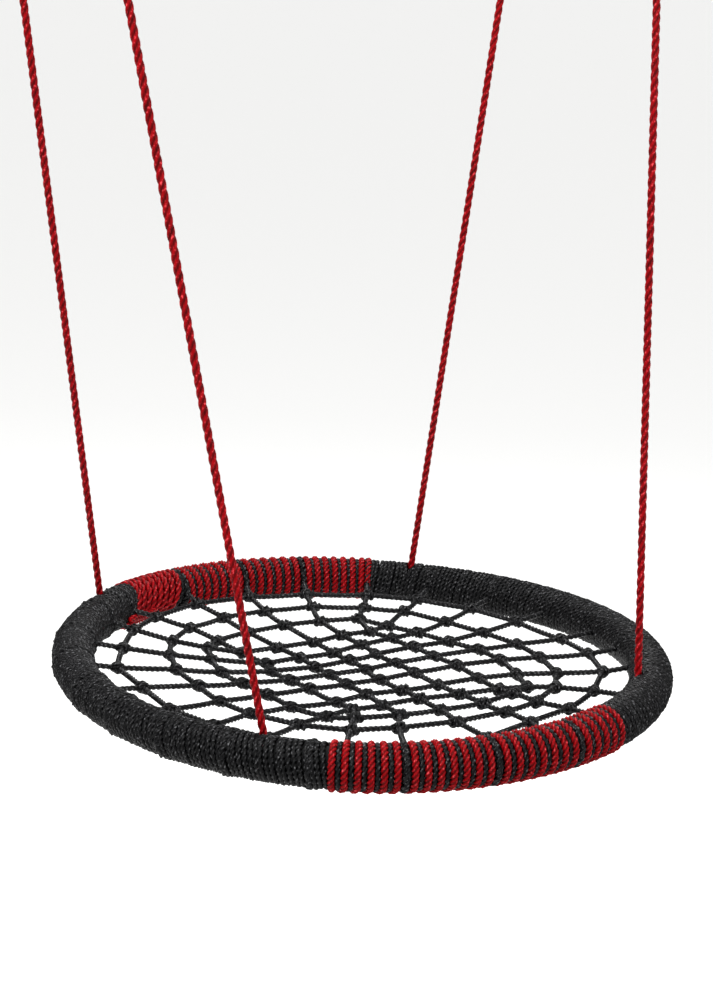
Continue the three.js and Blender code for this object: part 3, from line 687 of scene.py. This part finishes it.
def striped_turns(section):
    """Ring angles of the red turns, of the black turns between them and of the lashings."""
    marks = sorted(
        section[0] + (angle - section[0]) % 360
        for angle in NET_LASHINGS
        if in_section(angle, section) and not in_section(angle - 0.1, CLOSE_TURNS)
    )
    edges = [section[0], *marks, section[1]]
    red, black = [], []
    for k, (low, high) in enumerate(zip(edges[:-1], edges[1:])):
        if in_section(low + 0.1, CLOSE_TURNS):
            continue
        low_room = ROOM_AT_END if k == 0 else ROOM_AT_LASHING
        high_room = ROOM_AT_END if k == len(edges) - 2 else ROOM_AT_LASHING
        count = max(1, round((high - low) / RED_PITCH - 0.5 * (low_room + high_room) + 1))
        pitch = (high - low) / (count - 1 + 0.5 * (low_room + high_room))
        first = low + 0.5 * low_room * pitch
        red.extend(first + i * pitch for i in range(count))
        black.extend(first + (i + 0.5) * pitch for i in range(count - 1))
    return red, black, marks


def lashing_loops(sweep, angle, radius, cord, twists=7):
    """Two cords twisted together round the ring, with their knot on its outer lower side."""
    psi = np.linspace(0, 2 * math.pi, 97)[:-1]
    out = np.cos(psi)[:, None] * direction(angle) + np.sin(psi)[:, None] * UP
    for start in (0, math.pi):
        swing = twists * psi + start
        points = (
            ring_point(angle)
            + (radius + LASHING_SWING[0] * np.cos(swing))[:, None] * out
            + (LASHING_SWING[1] * np.sin(swing))[:, None] * sideways(angle)
        )
        sweep.add(part_round_ropes(points), out, cord, CORD_LAY, closed=True, per_lobe=4)


for name, section, node, red_size, black_depth in (
    ("front", RED_FRONT, "wrap_striped_front", 0.0055, 0.0074),
    ("back", RED_BACK, "wrap_striped_back", 0.0058, 0.0084),
):
    red, black, marks = striped_turns(section)
    red_sweep, black_sweep = Sweep(), Sweep()
    points, out = wound(red, RED_WRAP_RADIUS - red_size)
    red_sweep.add(points, out, red_size, CORD_LAY)
    points, out = wound(black, RED_WRAP_RADIUS - black_depth)
    black_sweep.add(points, out, STRIPE_BLACK_CORD, CORD_LAY)
    for angle in marks:
        depth = STRIPE_LASHING_DEPTH
        lashing_loops(black_sweep, angle, RED_WRAP_RADIUS - depth, STRIPE_LASHING_CORD)
    if name == "back":
        close = np.linspace(RED_BACK[1] + 0.2, CLOSE_TURNS[0] + 3.4, 8)
        points, out = wound(close, RED_WRAP_RADIUS - CLOSE_RED_CORD, leans=CLOSE_LEANS)
        red_sweep.add(points, out, CLOSE_RED_CORD, 1.6 * CORD_LAY)
        between = 0.5 * (close[:-1] + close[1:])
        points, out = wound(between, RED_WRAP_RADIUS - CLOSE_BLACK_DEPTH, leans=CLOSE_LEANS)
        black_sweep.add(points, out, CLOSE_BLACK_CORD, CORD_LAY)
        beside_lashing = [CLOSE_TURNS[0] + 1.6]
        points, out = wound(beside_lashing, RED_WRAP_RADIUS - black_depth, leans=(-1.4, -1.4))
        black_sweep.add(points, out, STRIPE_BLACK_CORD, CORD_LAY)
    red_piece = red_sweep.build(f"striped_wrap_{name}_red", red_cord)
    black_piece = black_sweep.build(f"striped_wrap_{name}_black", black_cord)
    for piece, slot_name in ((red_piece, "red_rope"), (black_piece, "black_cord")):
        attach(piece, "seat")
    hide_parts(node)

# The red cord's ends hang together under the ring, at the back wrap's left end.
tails = Sweep()
for k, (start, end) in enumerate(((117.5, 127.5), (118.5, 126.2), (119.0, 128.6))):
    angles = np.linspace(start, end, 60)
    at = math.radians(196 + 11 * k) + 0.05 * np.sin(np.radians((angles - start) * 40))
    inwards = np.cos(at)[:, None] * direction(angles) + np.sin(at)[:, None] * UP
    points = ring_point(angles) + (RED_WRAP_RADIUS - 0.0006) * inwards
    tails.add(points, inwards, TAIL_CORD, CORD_LAY)
tail_piece = tails.build("striped_wrap_tails", red_cord)
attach(tail_piece, "seat")

for name, section, node, lashing_swell, lashing_depth, first_lean in (
    ("left", (RED_BACK[1] + 0.2, RED_FRONT[0] - 0.4), "wrap_black_left", 0.0016, 0.0033, -2.9),
    (
        "right", (RED_FRONT[1] - 359.6, RED_BACK[0] - 0.4), "wrap_black_right",
        0.0004, 0.0062, BLACK_LEAN,
    ),
):
    count = round((section[1] - section[0]) / BLACK_PITCH)
    angles = np.linspace(section[0], section[1], count)
    rng = np.random.default_rng(7 + len(name))
    angles = angles + rng.uniform(-0.16, 0.16, len(angles))
    marks = [
        section[0] + (angle - section[0]) % 360
        for angle in NET_LASHINGS if in_section(angle, section)
    ]

    def swell(a, psi):
        """How far the winding stands out: over the lashings, and a little unevenly throughout."""
        rise = -slimmer(a)
        outer = 0.55 + 0.45 * np.cos(psi + 0.7)
        for mark in marks:
            rise += lashing_swell * np.exp(-((a - mark) / 0.9) ** 2) * outer
        return rise + 0.0006 * np.sin(a * 1.7) * np.sin(a * 0.53 + 1)

    sweep = Sweep()
    points, out = wound(
        angles, BLACK_WRAP_RADIUS - BLACK_CORD, bumps=swell, step_room=0.2,
        leans=(first_lean, BLACK_LEAN),
    )
    sweep.add(points, out, BLACK_CORD, CORD_LAY)
    piece = sweep.build(f"black_wrap_{name}", black_cord)
    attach(piece, "seat")
    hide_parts(node)
    knots = Sweep()
    for mark in marks:
        reach = BLACK_WRAP_RADIUS - lashing_depth - slimmer(mark)
        lashing_loops(knots, mark, reach, BLACK_LASHING_CORD)
    piece = knots.build(f"lashings_{name}", black_cord)
    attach(piece, "seat")


# ---- Net ----
COIL_TURNS = 2.8
COIL_RADIUS = 0.0058
COIL_HALF = 0.0098
COIL_CORD = 0.0039
LOCK_CORD = 0.0036
LOCK_REACH = (0.0095, 0.0062)
STRAND_REACH = 0.0315  # the outer strands end under the wrap, this far from the tube's middle


def net_edge(sweep, a, b, bow=0.0, radius=NET_CORD / 2, phase=0.0):
    """A cord from a to b that bows a little to one side."""
    steps = max(6, int(np.linalg.norm(b - a) / 0.0028))
    t = np.linspace(0, 1, steps)
    line = a + t[:, None] * (b - a)
    side = np.cross(b - a, UP)
    side /= np.linalg.norm(side)
    line += (4 * t * (1 - t) * bow)[:, None] * side
    line -= (4 * t * (1 - t) * abs(bow) * 0.4)[:, None] * UP
    sweep.add(line, UP, radius, CORD_LAY, phase=phase)


def net_knot(sweep, centre, along, seed):
    """Turns of one cord drawn tight round another, and the loop that locks them."""
    along = along / np.linalg.norm(along)
    side = np.cross(UP, along)
    lean = 0.5 * unevenness(seed)
    t = np.linspace(0, 1, 46)
    psi = 2 * math.pi * COIL_TURNS * t + lean
    tuck = np.minimum(1, np.minimum(t, 1 - t) / 0.14)
    radius = ((COIL_RADIUS + 0.0006 * unevenness(seed + 3)) * (0.35 + 0.65 * tuck))[:, None]
    out = np.cos(psi)[:, None] * UP + np.sin(psi)[:, None] * side
    half = COIL_HALF + 0.0015 * unevenness(seed + 5)
    points = centre + ((t - 0.5) * 2 * half)[:, None] * along + radius * out
    sweep.add(points, out, COIL_CORD, CORD_LAY)
    lock = np.linspace(0, 2 * math.pi, 27)[:-1]
    tilt = along * math.cos(0.9) + side * math.sin(0.9) * math.copysign(1, lean)
    over = 0.55 * UP + 0.83 * np.cross(UP, tilt)
    points = (
        centre + (LOCK_REACH[0] * np.cos(lock))[:, None] * tilt
        + (LOCK_REACH[1] * np.sin(lock))[:, None] * over
    )
    sweep.add(points, np.cross(tilt, over), LOCK_CORD, CORD_LAY, closed=True)


net = Sweep()
knots = Sweep()
for k, knots_of_round in enumerate(NET_ROUNDS):
    points = [net_point(knot) for knot in knots_of_round]
    closed = k > 0
    for i, point in enumerate(points):
        seed = 100 * k + i + 1
        following = points[(i + 1) % len(points)] if closed or i + 1 < len(points) else None
        before = points[i - 1] if closed or i else None
        if following is not None:
            net_edge(net, point, following, 0.0022 * unevenness(seed + 11), phase=seed)
        ends = (point if before is None else before, point if following is None else following)
        net_knot(knots, point, ends[1] - ends[0], seed)
        if len(knots_of_round[i]) == 3:
            inner = net_point(NET_ROUNDS[k - 1][knots_of_round[i][2]])
            net_edge(net, point, inner, 0.0025 * unevenness(seed + 23), phase=seed)
for knot, angle in zip(NET_ROUNDS[-1], NET_LASHINGS):
    end = ring_point(angle) - direction(angle) * STRAND_REACH
    net_edge(net, net_point(knot), end, 0.0006)
net_piece = net.build("net_cords", black_cord)
knot_piece = knots.build("net_knots", black_cord)
for piece in (net_piece, knot_piece):
    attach(piece, "seat")
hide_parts("seat_net")


# ---- Links, hooks and brackets ----
def corner_arc(y, z, radius, start, end):
    """A round corner of the link, in its own plane."""
    a = np.linspace(start, end, 25)
    return np.stack([np.zeros_like(a), y + radius * np.cos(a), z + radius * np.sin(a)], -1)


def resampled(path, step, closed=False):
    """The same line with points an even distance apart."""
    line = np.vstack([path, path[:1]]) if closed else np.asarray(path)
    along = np.concatenate([[0], np.cumsum(np.linalg.norm(np.diff(line, axis=0), axis=1))])
    count = int(along[-1] / step)
    at = np.linspace(0, along[-1], count + 1)
    if closed:
        at = at[:-1]
    return np.stack([np.interp(at, along, line[:, i]) for i in range(3)], -1)


def spline(points, per_span=16):
    """A smooth line through all the points."""
    points = np.asarray(points, float)
    ends = np.vstack([2 * points[0] - points[1], points, 2 * points[-1] - points[-2]])
    line = []
    for k in range(len(points) - 1):
        a, b, c, d = ends[k:k + 4]
        for t in np.linspace(0, 1, per_span, endpoint=False):
            line.append(0.5 * (
                2 * b + (c - a) * t + (2 * a - 5 * b + 4 * c - d) * t ** 2
                + (3 * b - a - 3 * c + d) * t ** 3
            ))
    return np.array([*line, points[-1]])


X_AXIS = np.array([1.0, 0.0, 0.0])
Y_AXIS = np.array([0.0, 1.0, 0.0])
apex = LINK_WIRE + 4 * GAP
slope = math.atan2(LINK_HEIGHT, LINK_HALF)
lean = math.asin((LINK_CORNER - apex) / math.hypot(LINK_HALF, LINK_HEIGHT))
arm = math.pi / 2 - slope + lean
link_outline = np.concatenate([
    corner_arc(LINK_HALF, -LINK_HEIGHT, LINK_CORNER, -math.pi / 2, arm),
    corner_arc(0, 0, apex, arm, math.pi - arm),
    corner_arc(-LINK_HALF, -LINK_HEIGHT, LINK_CORNER, math.pi - arm, 1.5 * math.pi),
])
BARREL_RADIUS, BARREL_LENGTH = 0.014, 0.026
BUSH_RADIUS, BOLT_RADIUS = 0.0095, 0.006
BOLT_HALF = BARREL_LENGTH / 2 + GAP + 0.005
LATCH_X, LATCH_Z, LATCH_WIDTH = 0.008, 0.046, 0.006
LUG_HALF = 0.00125
for place, side in (("left", -1), ("right", 1)):
    pivot = np.array([side * SWING_HALF, 0, -PIVOT_DEPTH])
    latch_pivot = pivot + np.array([LATCH_X, 0, LATCH_Z - HOOK_REACH])
    hook_body, latch_body = f"hook_{place}", f"latch_{place}"

    outline = resampled(link_outline, 0.003, closed=True)
    weld = np.exp(-(outline[:, 1] / 0.004) ** 2) * (outline[:, 2] < -LINK_HEIGHT)
    link = Sweep()
    link.add_rod(
        outline + np.array([side * SWING_HALF, 0, -LINK_DROP]), X_AXIS,
        LINK_WIRE / 2 + 0.0007 * weld, closed=True,
    )
    piece = link.build(f"triangle_link_{place}_bent", zinc)
    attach(piece, "seat")
    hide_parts(f"triangle_link_{place}")

    bowl = [
        (HOOK_BOWL * math.cos(math.radians(a)), HOOK_BOWL * math.sin(math.radians(a)))
        for a in range(180, 361, 15)
    ]
    shape = [(0, 0.064), (0, 0.054), (-0.013, 0.040), (-0.021, 0.022), *bowl, (HOOK_BOWL, 0.012)]
    curve = resampled(spline([(x, 0, z - HOOK_REACH) for x, z in shape]), 0.0022) + pivot
    far = np.linspace(0, 1, len(curve))
    thick = HOOK_WIRE / 2 * (1 - 0.12 * np.clip((far - 0.8) / 0.2, 0, 1))
    thick[-4:] *= np.array([0.97, 0.88, 0.72, 0.45])
    hook = Sweep()
    hook.add_rod(curve, Y_AXIS, thick)
    piece = hook.build(f"safety_hook_{place}_forged", zinc)
    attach(piece, hook_body)
    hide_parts(f"safety_hook_{place}")
    inner = (BUSH_RADIUS + GAP) / math.cos(math.pi / 12)
    end = BARREL_LENGTH / 2
    barrel = lathe(
        f"hook_barrel_{place}",
        [(inner, end - 0.0006), (inner, 0.0006 - end), (inner + 0.0006, -end),
         (BARREL_RADIUS - 0.0012, -end), (BARREL_RADIUS - 0.0003, 0.0005 - end),
         (BARREL_RADIUS, 0.0014 - end), (BARREL_RADIUS, end - 0.0014),
         (BARREL_RADIUS - 0.0003, end - 0.0005), (BARREL_RADIUS - 0.0012, end),
         (inner + 0.0006, end)],
        pivot, X_AXIS, zinc,
    )
    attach(barrel, hook_body)
    for cheek in (-1, 1):
        lug = lathe(
            f"latch_lug_{place}_{'near' if cheek < 0 else 'far'}",
            [(0.0022, -LUG_HALF), (0.0058, -LUG_HALF), (0.0064, -0.0006), (0.0064, 0.0006),
             (0.0058, LUG_HALF), (0.0022, LUG_HALF)],
            latch_pivot + Y_AXIS * cheek * (LATCH_WIDTH / 2 + GAP + LUG_HALF), Y_AXIS, zinc, 40,
        )
        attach(lug, hook_body)

    piece = refined(f"hook_latch_{place}_blade", f"hook_latch_{place}", zinc, 0.0005)
    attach(piece, latch_body)
    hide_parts(f"hook_latch_{place}")
    pin_half = LATCH_WIDTH / 2 + GAP + 0.0035
    pin = lathe(
        f"latch_pin_{place}_turned",
        [(0.0, -pin_half), (0.0016, -pin_half), (0.002, 0.0004 - pin_half),
         (0.002, pin_half - 0.0004), (0.0016, pin_half), (0.0, pin_half)],
        latch_pivot, Y_AXIS, zinc, 32,
    )
    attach(pin, hook_body)
    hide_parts(f"latch_pin_{place}")

    piece = refined(f"beam_bracket_{place}_folded", f"beam_bracket_{place}", zinc, 0.0009)
    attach(piece, "beam_brackets")
    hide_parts(f"beam_bracket_{place}")
    bush = lathe(
        f"pivot_bush_{place}_moulded",
        [(BOLT_RADIUS + GAP, end), (BOLT_RADIUS + GAP, -end), (BUSH_RADIUS - 0.0004, -end),
         (BUSH_RADIUS, 0.0004 - end), (BUSH_RADIUS, end - 0.0004), (BUSH_RADIUS - 0.0004, end)],
        pivot, X_AXIS, nylon,
    )
    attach(bush, "beam_brackets")
    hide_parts(f"pivot_bush_{place}")
    shank = [(0.0, -BOLT_HALF - 0.0013), (BOLT_RADIUS, -BOLT_HALF - 0.0013), (BOLT_RADIUS, 0.0165)]
    thread_end = BOLT_HALF + 0.0125
    for k in range(int((thread_end - 0.0165) / 0.0005)):
        shank.append((BOLT_RADIUS - (0.0, 0.0005, 0.001, 0.0005)[k % 4], 0.0168 + k * 0.0005))
    shank += [(BOLT_RADIUS - 0.0012, BOLT_HALF + 0.014), (0.0, BOLT_HALF + 0.014)]
    bolt = lathe(f"pivot_bolt_{place}_threaded", shank, pivot, X_AXIS, zinc, 40)
    head = lathe(
        f"pivot_bolt_head_{place}",
        [(0.0, -0.0075), (0.0085, -0.0075), (0.0105, -0.0066), (0.0105, -0.0006), (0.0099, 0.0),
         (0.0, 0.0)],
        pivot - X_AXIS * (BOLT_HALF + GAP), X_AXIS, zinc, 6,
    )
    nut = lathe(
        f"pivot_nut_{place}_hexagonal",
        [(BOLT_RADIUS + GAP, 0.0045), (BOLT_RADIUS + GAP, -0.0045), (0.0072, -0.005),
         (0.0092, -0.005), (0.0105, -0.0042), (0.0105, 0.0042), (0.0092, 0.005), (0.0072, 0.005)],
        pivot + X_AXIS * (BOLT_HALF + GAP + 0.005), X_AXIS, zinc, 6,
    )
    for piece in (bolt, head, nut):
        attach(piece, "beam_brackets")
    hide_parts(f"pivot_bolt_{place}")
    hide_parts(f"pivot_nut_{place}")

# ---- Foam under the wraps ----
NOOSE_ROOM = 1.1  # degrees from each rope to the foam beside it
rope_angles = sorted(facts[0] for facts in ROPES.values())
for k, low in enumerate(rope_angles):
    high = rope_angles[k + 1] if k < 3 else rope_angles[0] + 360
    angles = np.linspace(low + NOOSE_ROOM, high - NOOSE_ROOM, 90)
    sleeve = Sweep()
    sleeve.add_rod(ring_point(angles), UP, FOAM_RADIUS, per_lobe=12)
    piece = sleeve.build(f"foam_{k + 1}", foam)
    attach(piece, "seat")
    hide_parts(f"foam_sleeve_{k + 1}")

# ---- CAD nodes that stay: the steel inside the ring ----
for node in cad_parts.values():
    node.data.materials.clear()
    node.data.materials.append(zinc)

# ---- Floor and light ----
FLOOR_DROP = 1.0
FLOOR_REACH = 120.0
floor_mesh = bpy.data.meshes.new("floor")
floor_mesh.from_pydata(
    [(x * FLOOR_REACH, y * FLOOR_REACH, 0) for x, y in ((-1, -1), (1, -1), (1, 1), (-1, 1))],
    [], [(0, 1, 2, 3)],
)
floor = bpy.data.objects.new("floor", floor_mesh)
floor.location = (0, 0, SEAT[2] - FLOOR_DROP)
bpy.context.scene.collection.objects.link(floor)
floor_material, *_ = new_material("floor", (0.93, 0.93, 0.92), 0.9)
floor_mesh.materials.append(floor_material)
floor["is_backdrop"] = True

world = bpy.data.worlds.new("world")
bpy.context.scene.world = world
world.use_nodes = True
world.node_tree.nodes["Background"].inputs["Color"].default_value = (1, 1, 1, 1)
world.node_tree.nodes["Background"].inputs["Strength"].default_value = 0.95


def area_light(name, azimuth, elevation, distance, size, power):
    """A square lamp aimed at the seat. Azimuth is measured from the camera's side, to its right."""
    light = bpy.data.lights.new(name, "AREA")
    light.shape = "SQUARE"
    light.size = size
    light.energy = power
    lamp = bpy.data.objects.new(name, light)
    a = VIEW_TURN - math.pi / 2 + math.radians(azimuth)
    e = math.radians(elevation)
    to_lamp = Vector((math.cos(a) * math.cos(e), math.sin(a) * math.cos(e), math.sin(e)))
    lamp.location = Vector(SEAT) + to_lamp * distance
    lamp.rotation_mode = "QUATERNION"
    lamp.rotation_quaternion = to_lamp.to_track_quat("Z", "Y")
    bpy.context.scene.collection.objects.link(lamp)


area_light("key", -40, 55, 3.2, 1.6, 130)
area_light("fill", 60, 35, 3.4, 2.0, 60)
area_light("back", 180, 50, 3.2, 1.4, 70)
bpy.context.scene.view_settings.view_transform = "Standard"

low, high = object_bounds()
